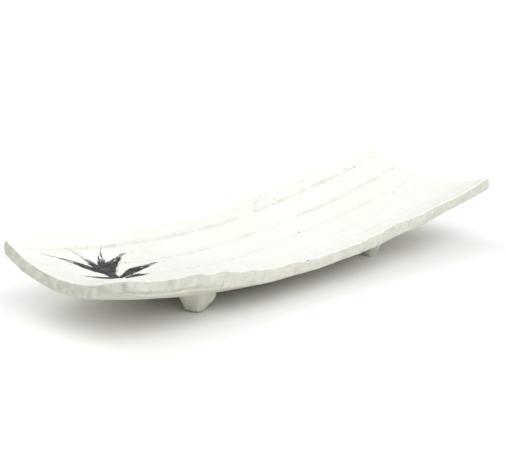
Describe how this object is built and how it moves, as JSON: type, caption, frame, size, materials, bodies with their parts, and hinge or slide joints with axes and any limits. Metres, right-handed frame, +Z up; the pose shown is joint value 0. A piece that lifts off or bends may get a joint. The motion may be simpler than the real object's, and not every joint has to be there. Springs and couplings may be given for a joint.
{
  "type": "footed serving plate",
  "caption": "Long rectangular footed serving plate of white-glazed porcelain, trough-shaped with both short ends upswept, combed lines along its length.",
  "frame": {"origin": "middle of the plate's outline, on the table surface that the four feet stand on", "axes": "+X along the plate towards its higher short end, +Y across it towards the far long side, +Z up"},
  "size_m": [0.3017, 0.1028, 0.0481],
  "materials": {
    "slab_glaze": "satin white glaze",
    "foot_glaze": "thin matt white glaze, bare clay at the sole"
  },
  "bodies": {
    "root": {"plate_slab": "slab_glaze", "foot_near_left": "foot_glaze", "foot_far_left": "foot_glaze", "foot_near_right": "foot_glaze", "foot_far_right": "foot_glaze"}
  },
  "joints": []
}
